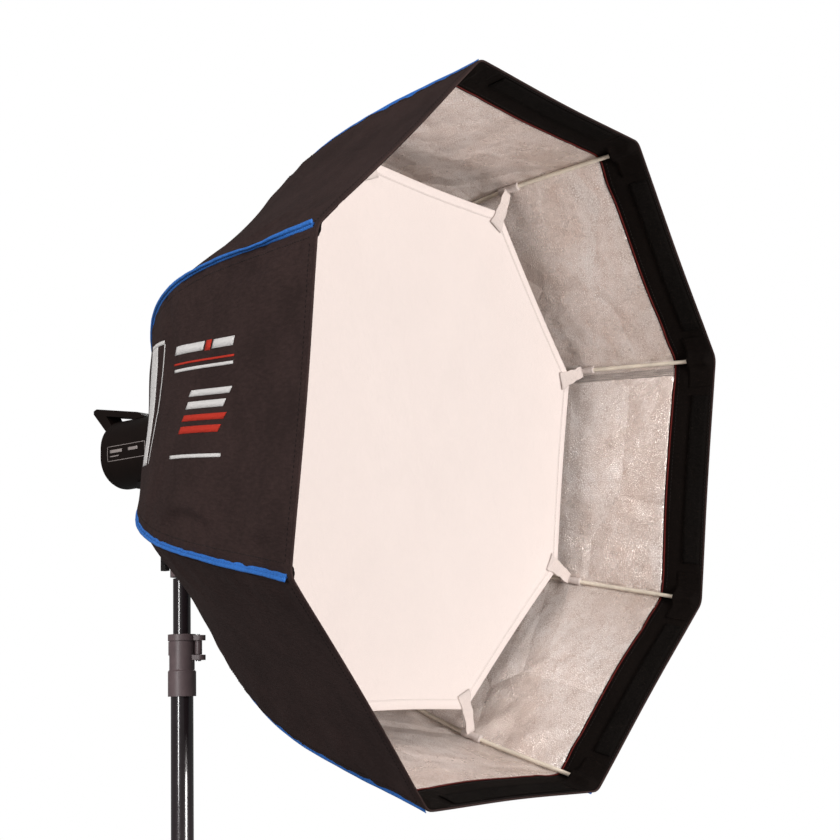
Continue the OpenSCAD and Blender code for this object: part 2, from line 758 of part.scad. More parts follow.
module leg(i) {
    color(black_paint) down_leg(i) difference() {
        union() {
            rotate([90, 0, 0]) translate([0, 0, -tongue / 2]) cylinder(r = 8, h = tongue);
            translate([0, -tongue / 2, -7]) cube([30, tongue, 14]);
            translate([26, 0, 0]) rotate([0, 90, 0]) cylinder(r = leg_d / 2, h = leg_len - 46);
            translate([brace_len, 0, 0]) rotate([90, 0, 0]) translate([0, 0, -13]) cylinder(r = 3, h = 26);
            for (z = [-14.6, 13]) translate([brace_len, 0, 0]) rotate([90, 0, 0])
                translate([0, 0, z]) cylinder(r = 5, h = 1.6);
        }
        rotate([90, 0, 0]) translate([0, 0, -20]) cylinder(r = 3.05, h = 40);
        translate([36, 0, 0]) rotate([0, 90, 0]) cylinder(r = leg_d / 2 - 1.3, h = brace_len - 50);
        translate([brace_len + 14, 0, 0]) rotate([0, 90, 0]) cylinder(r = leg_d / 2 - 1.3, h = leg_len);
    }
}

// Fork of two flat bars that straddles the leg, closing to a tongue at the collar
module brace(i) {
    bar_y = 8.6;
    bar_t = 2.6;
    fork_x = 74;
    color(black_paint) at_leg(i) translate([ear_r, 0, brace_pivot_z]) rotate([0, leg_angle - 90, 0]) difference() {
        union() {
            rotate([90, 0, 0]) translate([0, 0, -tongue / 2]) cylinder(r = 7, h = tongue);
            translate([0, -tongue / 2, -6]) cube([fork_x + 8, tongue, 12]);
            translate([fork_x, -bar_y - bar_t, -6]) cube([14, 2 * (bar_y + bar_t), 12]);
            for (side = [-1, 1]) translate([0, side * (bar_y + bar_t / 2) - bar_t / 2, 0]) {
                translate([fork_x + 8, 0, -6]) cube([brace_len - fork_x - 8, bar_t, 12]);
                translate([brace_len, 0, 0]) rotate([-90, 0, 0]) cylinder(r = 8, h = bar_t);
            }
        }
        translate([brace_len, 0, 0]) rotate([90, 0, 0]) translate([0, 0, -20]) cylinder(r = 3.05, h = 40);
    }
}

// Rubber foot with a flat pad on the floor
module foot(i) {
    foot_start = leg_len - 26;
    color(black_plastic) difference() {
        union() {
            down_leg(i) translate([foot_start, 0, 0]) rotate([0, 90, 0]) cylinder(r = leg_d / 2 + 3, h = 28);
            down_leg(i) translate([leg_len + 2, 0, 0]) sphere(r = leg_d / 2 + 3);
        }
        down_leg(i) translate([foot_start - 1, 0, 0]) rotate([0, 90, 0])
            cylinder(r = leg_d / 2 + 0.1, h = 7.2);
        translate([-1000, -1000, -100]) cube([2000, 2000, 100]);
    }
}

module leg_1() { leg(0); }
module leg_2() { leg(1); }
module leg_3() { leg(2); }
module brace_1() { brace(0); }
module brace_2() { brace(1); }
module brace_3() { brace(2); }
module foot_1() { foot(0); }
module foot_2() { foot(1); }
module foot_3() { foot(2); }

// ---- Output ----------------------------------------------------------------------

outer_shell();
silver_lining();
front_lip();
hook_tape();
seam_binding();
rib_pockets();
ribs();
inner_diffuser();
diffuser_loops();
rear_collar();
speed_ring();
ring_lock_knob();
mount_insert();
insert_retainer();
lamp_mount_ring();
lamp_lock_slider();
lamp_housing();
lamp_rear_cover();
lamp_front_plate();
heat_sink();
led_module();
glass_dome();
fan_rotor();
fan_frame();
lamp_handle();
lamp_screws();
display_window();
dimmer_knob();
mode_button();
power_rocker();
power_inlet();
tilt_foot();
tilt_bracket();
tilt_bolt();
tilt_lever();
spigot_knob();
spigot();
top_tube();
middle_tube();
upper_clamp();
upper_lever();
upper_pin();
column_tube();
lower_clamp();
lower_lever();
lower_pin();
column_plug();
brace_collar();
leg_collar();
leg_collar_knob();
leg_pins();
leg_1();
leg_2();
leg_3();
brace_1();
brace_2();
brace_3();
foot_1();
foot_2();
foot_3();
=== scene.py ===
import bmesh, bpy, math
from mathutils import Matrix, Vector, noise


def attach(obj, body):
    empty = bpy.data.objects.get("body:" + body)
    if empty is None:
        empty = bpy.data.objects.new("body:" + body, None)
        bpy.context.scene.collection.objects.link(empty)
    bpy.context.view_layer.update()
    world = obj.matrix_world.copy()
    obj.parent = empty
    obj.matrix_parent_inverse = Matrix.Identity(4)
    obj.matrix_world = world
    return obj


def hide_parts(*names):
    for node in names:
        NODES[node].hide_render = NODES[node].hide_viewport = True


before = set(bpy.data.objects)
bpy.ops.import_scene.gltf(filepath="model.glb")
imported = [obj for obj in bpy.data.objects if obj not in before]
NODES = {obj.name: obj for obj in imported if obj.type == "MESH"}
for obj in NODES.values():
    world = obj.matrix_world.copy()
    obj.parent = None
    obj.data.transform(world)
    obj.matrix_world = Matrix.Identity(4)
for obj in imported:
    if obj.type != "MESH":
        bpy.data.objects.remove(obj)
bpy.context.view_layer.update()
scene = bpy.context.scene
rad, sin, cos, exp, pi = math.radians, math.sin, math.cos, math.exp, math.pi

# ---- Camera ----------------------------------------------------------------------

CAMERA_AT = (-1.3175, -1.4208, 1.162)
CAMERA_TURNS = (-4.72, -8.34, 1.44, 56.58)  # pan, tilt, roll and heading, in degrees
FOCAL_MM, SENSOR_MM, SHIFT_UP = 65.06, 36, 0.0637


def make_camera():
    """The photograph's camera: its heading first, then small pan, tilt and roll."""
    pan, tilt, roll, turn = (rad(a) for a in CAMERA_TURNS)
    look = Vector((sin(turn), cos(turn), 0))
    right = look.cross(Vector((0, 0, 1)))
    level = Matrix((right, (0, 0, 1), -look))
    spin = Matrix.Rotation(roll, 3, "Z") @ Matrix.Rotation(tilt, 3, "X") @ Matrix.Rotation(pan, 3, "Y")
    data = bpy.data.cameras.new("camera")
    data.lens, data.sensor_width, data.shift_y = FOCAL_MM, SENSOR_MM, SHIFT_UP
    data.clip_start, data.clip_end = 0.05, 100
    cam = bpy.data.objects.new("camera", data)
    scene.collection.objects.link(cam)
    cam.matrix_world = Matrix.Translation(CAMERA_AT) @ (spin @ level).transposed().to_4x4()
    scene.camera = cam


make_camera()

# ---- Materials -------------------------------------------------------------------


class Mat:
    """A node material: texture chains that end in the shader's colour, roughness and normal.

    m is the material, t its node tree, b the shader and n the last normal of the chain."""

    def __init__(self, name, color, rough=0.5, **sockets):
        self.m = bpy.data.materials.new(name)
        self.m.use_nodes = True
        self.t = self.m.node_tree
        self.b = self.t.nodes["Principled BSDF"]
        self.b.inputs["Base Color"].default_value = (*color, 1)
        self.b.inputs["Roughness"].default_value = rough
        for k, v in sockets.items():
            self.b.inputs[k.replace("_", " ")].default_value = v
        self.n = None

    def node(self, kind, **links):
        """Adds a node; each keyword is a link, a socket's value or a property."""
        n = self.t.nodes.new("ShaderNode" + kind)
        for k, v in links.items():
            k = k.replace("_", " ")
            if hasattr(v, "is_output"):
                self.t.links.new(v, n.inputs[k])
            elif k in n.inputs:
                n.inputs[k].default_value = v
            else:
                setattr(n, k.replace(" ", "_"), v)
        return n

    def coord(self, out="Object", scale=(1, 1, 1)):
        c = self.node("TexCoord").outputs[out]
        return self.node("Mapping", Vector=c, Scale=scale).outputs["Vector"]

    def noise(self, scale, detail=4, rough=0.6, vec=None, distortion=0):
        return self.node("TexNoise", Vector=vec or self.coord(), Scale=scale, Detail=detail,
                         Roughness=rough, Distortion=distortion).outputs["Fac"]

    def voronoi(self, scale, vec=None, feature="F1"):
        n = self.node("TexVoronoi", Vector=vec or self.coord(), Scale=scale)
        n.feature = feature
        return n.outputs["Distance"]

    def wave(self, scale, vec, axis="X", distortion=0):
        n = self.node("TexWave", Vector=vec, Scale=scale, Distortion=distortion)
        n.bands_direction = axis
        return n.outputs["Fac"]

    def math(self, op, a, b=0.0):
        n = self.t.nodes.new("ShaderNodeMath")
        n.operation = op
        for i, v in enumerate((a, b)):
            if hasattr(v, "is_output"):
                self.t.links.new(v, n.inputs[i])
            else:
                n.inputs[i].default_value = v
        return n.outputs[0]

    def ramp(self, fac, *stops):
        n = self.node("ValToRGB", Fac=fac)
        e = n.color_ramp.elements
        while len(e) < len(stops):
            e.new(0.5)
        for el, (at, c) in zip(e, stops):
            el.position = at
            el.color = (*c, 1) if hasattr(c, "__len__") else (c, c, c, 1)
        return n.outputs["Color"]

    def mix(self, fac, a, b, how="MIX"):
        n = self.t.nodes.new("ShaderNodeMix")
        n.data_type, n.blend_type = "RGBA", how
        # Sockets 6 and 7 are a colour mix's A and B, and output 2 is its colour
        for i, v in ((0, fac), (6, a), (7, b)):
            if hasattr(v, "is_output"):
                self.t.links.new(v, n.inputs[i])
            else:
                n.inputs[i].default_value = v if i == 0 else (*v, 1)
        return n.outputs[2]

    def color(self, out):
        self.t.links.new(out, self.b.inputs["Base Color"])
        return self

    def rough(self, fac, lo, hi):
        r = self.node("MapRange", Value=fac)
        r.inputs["To Min"].default_value, r.inputs["To Max"].default_value = lo, hi
        self.t.links.new(r.outputs[0], self.b.inputs["Roughness"])
        return self

    def edges(self, radius):
        """Starts the normal with rounded edges."""
        n = self.node("Bevel", Radius=radius)
        n.samples = 4
        self.n = n.outputs[0]
        self.t.links.new(self.n, self.b.inputs["Normal"])
        return self

    def bump(self, height, strength, distance):
        n = self.node("Bump", Height=height, Strength=strength, Distance=distance)
        if self.n:
            self.t.links.new(self.n, n.inputs["Normal"])
        self.n = n.outputs[0]
        self.t.links.new(self.n, self.b.inputs["Normal"])
        return self


def shade(color, k):
    return tuple(min(1.0, x * k) for x in color)


def cloth(name, color, rough, weave, sheen=0.3, depth=0.0003, dye_and_shade_spread=0.25, tint=None, spec=0.15):
    """Woven cloth: two thread directions from UVs in metres, with uneven dye, painted light and shade of
    its crinkles, and fine fuzz.
    """
    m = Mat(name, color, rough, Sheen_Weight=sheen, Sheen_Roughness=0.5, Specular_IOR_Level=spec)
    m.b.inputs["Sheen Tint"].default_value = (*(tint or color), 1)
    uv = m.coord("UV")
    a = m.wave(1 / weave, uv, "X", 0.4)
    b = m.wave(1 / weave, uv, "Y", 0.4)
    threads = m.math("MAXIMUM", a, b)
    fuzz = m.noise(900, 3, 0.7)
    crinkle = m.noise(1, 3, 0.6, m.coord("UV", (330, 105, 1)))
    dye = m.noise(13, 6, 0.7)
    # The colour mixes uneven dye with painted light and shade of the crinkles
    patch = m.math("ADD", m.math("MULTIPLY", dye, 0.6), m.math("MULTIPLY", crinkle, 0.4))
    ground = m.ramp(patch, (0.41, shade(color, 1 - dye_and_shade_spread)), (0.59, shade(color, 1 + dye_and_shade_spread)))
    m.color(m.mix(m.math("MULTIPLY", threads, 0.35), ground, shade(color, 1.5)))
    m.rough(fuzz, rough - 0.08, rough + 0.1)
    m.bump(fuzz, 0.25, 0.0004).bump(threads, 0.5, depth).bump(crinkle, 0.6, 5 * depth)
    return m.bump(m.noise(38, 5, 0.65), 0.45, 8 * depth)


def moulded(name, color, rough, grain=1400, edge=0.0008, **s):
    """Moulded plastic: fine spark texture, faint mould flow, rubbed edges."""
    m = Mat(name, color, rough, **s).edges(edge)
    spark = m.voronoi(grain)
    flow = m.noise(14, 4, 0.6)
    wear = m.math("MULTIPLY", m.noise(60, 5, 0.7), flow)
    m.color(m.ramp(wear, (0.18, shade(color, 0.85)), (0.45, shade(color, 1.25))))
    m.rough(flow, rough - 0.08, rough + 0.12)
    return m.bump(spark, 0.12, 0.0002).bump(m.noise(300, 2), 0.06, 0.0002)


def metal(name, color, rough, brush=(1, 1, 60), edge=0.0006, strength=0.1, metallic=1.0, **s):
    """Drawn, turned or lacquered metal: fine lines along one axis and faint smudges."""
    m = Mat(name, color, rough, Metallic=metallic, **s).edges(edge)
    lines = m.noise(60, 3, 0.7, m.coord(scale=brush))
    smudge = m.noise(22, 5, 0.65)
    m.color(m.ramp(smudge, (0.3, shade(color, 0.82)), (0.7, shade(color, 1.08))))
    m.rough(smudge, rough - 0.07, rough + 0.10)
    return m.bump(lines, strength, 0.0002)


SHELL = cloth("shell_cloth", (0.0330, 0.0190, 0.0175), 0.66, 0.0011, 0.02,
              dye_and_shade_spread=0.32, tint=(0.6, 0.4, 0.36), spec=0.12)
LIP = cloth("lip_cloth", (0.0050, 0.0034, 0.0028), 0.85, 0.0009, 0.0, spec=0.06)
BINDING = cloth("binding_tape", (0.024, 0.150, 0.52), 0.55, 0.0016, 0.12,
                depth=0.0004, tint=(0.4, 0.65, 1.0), spec=0.3)
WHITE = cloth("diffuser_cloth", (0.645, 0.573, 0.545), 0.85, 0.0007, 0.05,
              depth=0.00015, dye_and_shade_spread=0.015, tint=(1, 0.95, 0.92))
TABS = cloth("tab_cloth", (0.57, 0.50, 0.47), 0.8, 0.0009, 0.05, dye_and_shade_spread=0.05, tint=(1, 0.95, 0.92))
HOOK = cloth("hook_tape", (0.0055, 0.0045, 0.004), 0.95, 0.0022, 0.0, depth=0.0009, spec=0.05)


def silver():
    """Metallised cloth: small pressed pebbles with painted shade in the gaps between them, fold lines, and
    patches that catch the light.
    """
    m = Mat("silver_lining", (0.80, 0.70, 0.655), 0.4, Metallic=0.48, Specular_IOR_Level=0.6)
    uv = m.coord("UV")
    pebble = m.voronoi(400, uv, "DISTANCE_TO_EDGE")
    fine = m.voronoi(1150, uv)
    crease = m.noise(8, 3, 0.55, uv, 0.2)
    folds = m.voronoi(6.5, uv, "DISTANCE_TO_EDGE")
    patch = m.noise(6, 5, 0.7, uv, 0.2)
    tone = m.ramp(patch, (0.38, (0.84, 0.73, 0.67)), (0.60, (1.0, 0.95, 0.92)))
    # Painted shade in the gaps between pebbles, stronger in some places than in others
    gap_shade_strength = m.ramp(m.noise(60, 3, 0.6, uv), (0.3, 0.35), (0.7, 1.0))
    pebble_gap_shade = m.math("MULTIPLY", m.ramp(pebble, (0.03, 1.0), (0.20, 0.0)), gap_shade_strength)
    m.color(m.mix(pebble_gap_shade, tone, (0.56, 0.455, 0.405)))
    m.rough(patch, 0.17, 0.40)
    m.bump(crease, 0.7, 0.016).bump(m.ramp(folds, (0.0, 0.0), (0.13, 1.0)), 0.65, 0.0034)
    return m.bump(pebble, 0.6, 0.0014).bump(fine, 0.25, 0.0004)


SILVER = silver()
EDGE_TAPE = cloth("edge_tape", (0.10, 0.012, 0.01), 0.7, 0.0012)
ROD = moulded("glass_fibre_rod", (0.74, 0.67, 0.56), 0.35, 2500, 0.0002)
TIP = moulded("rod_tip", (0.05, 0.05, 0.05), 0.5)
BLACK = moulded("black_plastic", (0.014, 0.010, 0.009), 0.42)
GREY = moulded("grey_plastic", (0.20, 0.20, 0.21), 0.45)
CLAMP = moulded("clamp_plastic", (0.150, 0.106, 0.110), 0.42, 1100, 0.001)
RED = moulded("red_plastic", (0.42, 0.02, 0.015), 0.3, 2500)
SCREEN = moulded("display_glass", (0.006, 0.009, 0.012), 0.12, 4000, 0.0003, Coat_Weight=0.6)
LAMP = moulded("lamp_enamel", (0.0095, 0.0052, 0.0040), 0.50, 1700, 0.0012, Specular_IOR_Level=0.14)
TUBE = metal("black_tube", (0.022, 0.015, 0.017), 0.22, (40, 40, 1.5), 0.0004, 0.06, metallic=0.0,
             Coat_Weight=0.75, Coat_Roughness=0.08)
STEEL = metal("nickel_steel", (0.60, 0.60, 0.61), 0.27)
ALU = metal("satin_aluminium", (0.62, 0.62, 0.64), 0.36, (1, 60, 1))
DARK_ALU = metal("black_aluminium", (0.05, 0.046, 0.045), 0.38, (1, 50, 1))
RUBBER = moulded("rubber", (0.012, 0.012, 0.012), 0.75, 900, 0.001)
PHOSPHOR = moulded("phosphor", (0.85, 0.62, 0.10), 0.5)
THREAD = cloth("black_thread", (0.012, 0.010, 0.010), 0.6, 0.0005, 0.2)
WHITE_INK = cloth("white_print", (0.72, 0.68, 0.66), 0.6, 0.0011, 0.1, dye_and_shade_spread=0.06)
RED_INK = cloth("red_print", (0.50, 0.035, 0.02), 0.6, 0.0011, 0.1, dye_and_shade_spread=0.06)
LABEL_INK = moulded("label_print", (0.36, 0.31, 0.29), 0.5, 2500, 0.0001)


def frosted():
    """Blasted glass that lets light through."""
    m = Mat("frosted_glass", (0.92, 0.93, 0.93), 0.45, Transmission_Weight=0.7, IOR=1.48)
    m.rough(m.noise(30, 4), 0.38, 0.55)
    return m.bump(m.noise(1800, 2), 0.25, 0.0002)


FROST = frosted()

# ---- Mesh building ---------------------------------------------------------------


def mesh(name, verts, faces, mat, body, uvs=None, slot=None, replaces=(), smooth=True):
    me = bpy.data.meshes.new(name)
    me.from_pydata([tuple(v) for v in verts], [], faces)
    if uvs:
        layer = me.uv_layers.new(name="UVMap")
        for loop in me.loops:
            layer.data[loop.index].uv = uvs[loop.vertex_index]
    me.validate()
    bm = bmesh.new()
    bm.from_mesh(me)
    bmesh.ops.recalc_face_normals(bm, faces=bm.faces)
    bm.to_mesh(me)
    bm.free()
    if smooth:
        me.polygons.foreach_set("use_smooth", [True] * len(me.polygons))
    ob = bpy.data.objects.new(name, me)
    scene.collection.objects.link(ob)
    me.materials.append(mat.m)
    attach(ob, body)
    if replaces:
        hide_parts(*replaces)
    return ob


def add_grid(verts, faces, uvs, rows, uv_rows, wrap, flip=False):
    """Adds a grid of quads; wrap closes each row on itself."""
    base, n = len(verts), len(rows[0])
    for row, uv in zip(rows, uv_rows):
        verts.extend(row)
        uvs.extend(uv)
    for i in range(len(rows) - 1):
        for j in range(n if wrap else n - 1):
            k = (j + 1) % n
            q = [base + i * n + j, base + i * n + k, base + (i + 1) * n + k, base + (i + 1) * n + j]
            faces.append(q[::-1] if flip else q)
    return base


def band_faces(m, n):
    """Quads of m closed rows of n points, the last row joined to the first."""
    return [[i * n + j, i * n + (j + 1) % n, (i + 1) % m * n + (j + 1) % n, (i + 1) % m * n + j]
            for i in range(m) for j in range(n)]


def skin_mesh(name, outer, inner, uv_rows, mat, body, **kw):
    """A thin skin between two grids of closed rows."""
    verts, faces, uvs = [], [], []
    n, m = len(outer[0]), len(outer)
    a = add_grid(verts, faces, uvs, outer, uv_rows, True)
    b = add_grid(verts, faces, uvs, inner, uv_rows, True, True)
    for i, flip in ((0, False), (m - 1, True)):
        for j in range(n):
            k = (j + 1) % n
            q = [a + i * n + k, a + i * n + j, b + i * n + j, b + i * n + k]
            faces.append(q[::-1] if flip else q)
    return mesh(name, verts, faces, mat, body, uvs, **kw)


def patch_meshes(name, patches, mat, body="softbox", **kw):
    """One piece made of thin patches, each a front grid, a back grid and their UVs."""
    verts, faces, uvs = [], [], []
    for rows, back, uv in patches:
        n, m = len(rows[0]), len(rows)
        a = add_grid(verts, faces, uvs, rows, uv, False, True)
        b = add_grid(verts, faces, uvs, back, uv, False)
        last_a, last_b = a + (m - 1) * n, b + (m - 1) * n
        for i in range(m - 1):
            p, q = i * n, (i + 1) * n
            faces.append([a + p, a + q, b + q, b + p])
            faces.append([a + q + n - 1, a + p + n - 1, b + p + n - 1, b + q + n - 1])
        for j in range(n - 1):
            faces.append([a + j + 1, a + j, b + j, b + j + 1])
            faces.append([last_a + j, last_a + j + 1, last_b + j + 1, last_b + j])
    return mesh(name, verts, faces, mat, body, uvs, **kw)


def tube_mesh(name, paths, section, mat, body, **kw):
    """Sweeps closed sections of (side, out) offsets along paths of (point, side, out); section(w)
    gives the one at share w of a path."""
    verts, faces, uvs = [], [], []
    for path in paths:
        base, run, last = len(verts), 0.0, len(path) - 1
        for i, (p, s, o) in enumerate(path):
            if i:
                run += (p - path[i - 1][0]).length
            points = section(i / last)
            n = len(points)
            for j, (x, y) in enumerate(points):
                verts.append(p + s * x + o * y)
                uvs.append((run, j / n * 0.02))
        for i in range(last):
            a, b = base + i * n, base + (i + 1) * n
            for j in range(n):
                k = (j + 1) % n
                faces.append([a + j, a + k, b + k, b + j])
        faces.append([base + j for j in range(n)][::-1])
        faces.append([base + last * n + j for j in range(n)])
    return mesh(name, verts, faces, mat, body, uvs, **kw)


def circle(r, n=20):
    return [(r * cos(2 * pi * j / n), r * sin(2 * pi * j / n)) for j in range(n)]


# ---- Softbox shape (metres, the same lines as the CAD's) --------------------------

DROOP, BEND, AXIS = rad(7), 0.013, 1.484  # the softbox's lean, where it bends, the lamp's height
RIM = Vector((0.400, 0.542))  # corner radius and forwards distance of the front edge
DEPTH, BACK_R = 0.485, 0.078
CURVE = [RIM, RIM - Vector((0.050, 0.381 * DEPTH)), RIM - Vector((0.032, 0.670 * DEPTH)),
         Vector((BACK_R, RIM.y - DEPTH))]
SEAM_RUN, PERIMETER = 0.61, 2.449  # length of a seam, and of the front edge, for UVs in metres
SIDES = 8
HALF = pi / SIDES
ROUND = 0.018
LINING, RIB_IN, RIB_R = -0.0015, 0.0075, 0.0025
LIP_DEPTH, DIFFUSER_DEPTH = 0.049, 0.167
DIFFUSER_R, DIFFUSER_Z = 0.318, RIM.y - DIFFUSER_DEPTH
PRINTED = 3  # the panel with the printed stripes and the slack cloth


def optical(x, y, z):
    """Softbox frame (z forwards along its axis, y up) to the row frame."""
    return Vector((x, -(y * sin(DROOP) + z * cos(DROOP) + BEND), y * cos(DROOP) - z * sin(DROOP) + AXIS))


def direction(x, y, z):
    """A direction in the softbox frame, in the row frame."""
    return optical(x, y, z) - optical(0, 0, 0)


def lamp(x, y, z):
    """Lamp frame to the row frame."""
    return Vector((x, -z, y + AXIS))


def seam(t, out=0.0):
    """Point (radius, forwards) and slope of the corner line at share t, moved outwards."""
    a, b, c, d = CURVE
    u = 1 - t
    p = a * u ** 3 + b * 3 * u * u * t + c * 3 * u * t * t + d * t ** 3
    s = ((b - a) * u * u + (c - b) * 2 * u * t + (d - c) * t * t).normalized()
    return p + Vector((-s.y, s.x)) * out, s


def share_at(depth):
    """Share of the seam at which it is this far behind the rim."""
    lo, hi = 0.0, 1.0
    for _ in range(30):
        mid = (lo + hi) / 2
        lo, hi = (mid, hi) if RIM.y - seam(mid)[0].y < depth else (lo, mid)
    return lo


def ease(x):
    """Smooth step from 0 to 1."""
    x = max(0.0, min(1.0, x))
    return x * x * (3 - 2 * x)


# Slack cloth on the printed panel: how far along the seam, half its length, how far in from the
# seam its crest lies, how far the crest drops at its ends, how high it stands, and whether it is
# at the lower seam
SLACK = ((0.205, 0.085, 0.031, 0.026, 0.0085, True),
         (0.050, 0.042, 0.020, 0.014, 0.0055, True),
         (0.330, 0.060, 0.022, 0.016, 0.0035, True),
         (0.110, 0.070, 0.024, 0.018, 0.0040, False))


def pulled_cloth(s, run, d):
    """Height of the slack folds at share s of the printed panel, run metres behind the rim."""
    height = 0.0
    for at, reach, crest, drop, high, low_side in SLACK:
        along = (run - at) / reach
        if abs(along) < 1 and (s > 0.5) == low_side:
            over = d - crest + drop * along * along
            fall = exp(-max(0.0, over) / 0.05)
            height += high * ease(over / 0.009 + 0.5) * fall * (1 - along * along) ** 1.5
    return height


def fold(k, s, t, d, slack=True):
    """How far the cloth of panel k stands out of the flat: s is the share from its first seam to its
    second, t the share from the rim to the ring, d the distance to the nearer seam."""
    x, run = (s - 0.5) * 0.3, t * SEAM_RUN
    ends = min(1, t * 12) * min(1, (1 - t) * 8)
    bow = -0.0055 * sin(pi * s) ** 1.5 * sin(pi * min(1, 0.08 + t)) ** 0.7
    soft = 0.0026 * noise.noise(Vector((x * 9 + k * 3.7, run * 7, k * 1.3))) * min(1, d / 0.03)
    pucker = 0.0018 * exp(-d / 0.02) * noise.noise(Vector((run * 70 + k * 9, d * 25, 4.0 + k)))
    strain = noise.noise(Vector(((run + d * 0.8) * 32, d * 9, 9.0 + k)))
    drag = 0.0034 * exp(-((d - 0.028) / 0.03) ** 2) * strain
    round_back = 0.076 * seam(t)[0].x * ease((t - 0.84) / 0.15) * (1 - (2 * s - 1) ** 2)
    pulled = pulled_cloth(s, run, d) if k == PRINTED and slack else 0.0
    return bow + round_back + (soft + pucker + drag + pulled) * ends


def corner_angle(k):
    return HALF + k * pi / 4


def side_ends(k, radius, round_r):
    """Ends of the straight part of side k, its outward normal, and its first corner's arc centre."""
    a = corner_angle(k)
    c = radius - round_r / cos(HALF)
    n = Vector((cos(a + HALF), sin(a + HALF)))
    p0 = Vector((cos(a), sin(a))) * c + n * round_r
    p1 = Vector((cos(a + pi / 4), sin(a + pi / 4))) * c + n * round_r
    return p0, p1, n, Vector((cos(a), sin(a))) * c


def panel_normal(k):
    return direction(*side_ends(k, RIM.x, ROUND)[2], 0)


def ring(radius, z, push, per_side, per_arc=5, round_r=ROUND):
    """Rounded octagon in the row frame; push(k, s, d) moves a point outwards."""
    round_r = min(round_r, radius * 0.25)
    pts = []
    for k in range(SIDES):
        p0, p1, n, c = side_ends(k, radius, round_r)
        for i in range(per_arc):
            g = corner_angle(k) - HALF + 2 * HALF * i / per_arc
            r = round_r + (push((k - 1) % SIDES, 1.0, 0.0) if i < per_arc / 2 else push(k, 0.0, 0.0))
            pts.append(optical(c.x + r * cos(g), c.y + r * sin(g), z))
        side = (p1 - p0).length
        for i in range(per_side):
            s = i / per_side
            p = p0.lerp(p1, s) + n * push(k, s, min(s, 1 - s) * side)
            pts.append(optical(p.x, p.y, z))
    return pts


def panel_side(k, radius):
    """Both ends of the straight part of a cloth panel's side, its length and its normal."""
    p0, p1, n, _ = side_ends(k, radius, min(ROUND, radius * 0.25))
    return p0, p1, (p1 - p0).length, n


def on_side(k, v, t, out=0.0):
    """Point on panel k, v metres from its centre line."""
    p, _ = seam(t, out)
    p0, p1, side, n = panel_side(k, p.x)
    s = min(1.0, max(0.0, 0.5 - v / side))
    q = p0.lerp(p1, s) + n * fold(k, s, t, min(s, 1 - s) * side)
    return optical(q.x, q.y, p.y)


def skin_rows(ts, out, per_side, slack):
    rows, uv = [], []
    for t in ts:
        p, _ = seam(t, out)
        rows.append(ring(p.x, p.y, lambda k, s, d: fold(k, s, t, d, slack), per_side))
        n = len(rows[-1])
        uv.append([(j / n * PERIMETER, t * SEAM_RUN) for j in range(n)])
    return rows, uv


def cloth_skin(name, t0, t1, n, out, thick, mat, per_side, slack=True, **kw):
    """A skin of cloth round all panels, from share t0 to t1 of the seams."""
    ts = [t0 + (t1 - t0) * i / n for i in range(n + 1)]
    outer, uv = skin_rows(ts, out, per_side, slack)
    inner, _ = skin_rows(ts, out - thick, per_side, slack)
    return skin_mesh(name, outer, inner, uv, mat, "softbox", **kw)


def hoop(name, t, out, width, height, points, mat, per_side, **kw):
    """Hoop of oval section that follows the panels at share t."""
    at, _ = seam(t, out)
    rows = []
    for i in range(points):
        g = i * 2 * pi / points
        rows.append(ring(at.x + width * cos(g), at.y + height * sin(g),
                         lambda k, s, d: fold(k, s, t, d, False), per_side))
    n = len(rows[0])
    uvs = [(j / n * PERIMETER, i / points * 0.02) for i in range(points) for j in range(n)]
    verts = [p for row in rows for p in row]
    return mesh(name, verts, band_faces(points, n), mat, "softbox", uvs, **kw)


STITCH = (0.0030, 0.0005, 0.0004)  # length, width and height of one thread


def stitches(name, places, mat, **kw):
    """Short threads at (point, direction, normal)."""
    verts, faces = [], []
    l, w, h = STITCH
    for p, d, n in places:
        d, n = d.normalized(), n.normalized()
        s = d.cross(n)
        b = len(verts)
        for x, lift in ((-0.5, -0.2), (-0.22, 1), (0.22, 1), (0.5, -0.2)):
            for y in (-0.5, 0.5):
                verts.append(p + d * l * x + s * w * y + n * h * lift)
        for x in (-0.5, 0.5):
            for y in (-0.5, 0.5):
                verts.append(p + d * l * x + s * w * y - n * h * 0.5)
        faces += [[b, b + 1, b + 3, b + 2], [b + 2, b + 3, b + 5, b + 4], [b + 4, b + 5, b + 7, b + 6],
                  [b + 1, b, b + 8, b + 9], [b + 6, b + 7, b + 11, b + 10], [b + 8, b + 10, b + 11, b + 9],
                  [b, b + 2, b + 4, b + 6, b + 10, b + 8], [b + 1, b + 9, b + 11, b + 7, b + 5, b + 3]]
    return mesh(name, verts, faces, mat, "softbox", smooth=False, **kw)


# ---- Shell, lining and lip --------------------------------------------------------

T_RIM, T_LIP, T_TAIL = 0.003, share_at(LIP_DEPTH), 0.985  # shares at rim, lip's edge and ring
fine = 2
shell = cloth_skin("shell_panels", T_RIM, 1.0, 60 * fine, 0.0, 0.0010, SHELL, 28 * fine,
                   slot="black_cloth", replaces=["outer_shell"])
lining = cloth_skin("lining_panels", T_LIP, T_TAIL, 40 * fine, LINING, 0.0008, SILVER, 14 * fine, False,
                    slot="silver_cloth", replaces=["silver_lining"])
lip = cloth_skin("lip_band", T_RIM, T_LIP + 0.004, 8, LINING + 0.0001, 0.0010, LIP, 14 * fine, False,
                 slot="black_cloth", replaces=["front_lip"])

hoop("rim_hem", T_RIM, -0.0012, 0.0012, 0.0022, 12, SHELL, 20 * fine, slot="black_cloth")
hoop("lip_piping", T_LIP, LINING - 0.0012, 0.0006, 0.0011, 8, EDGE_TAPE, 20 * fine, slot="black_cloth")

HOOK_FRONT, HOOK_WIDTH, HOOK_HALF = 0.006, 0.020, 0.105  # from the rim, across, and half its length


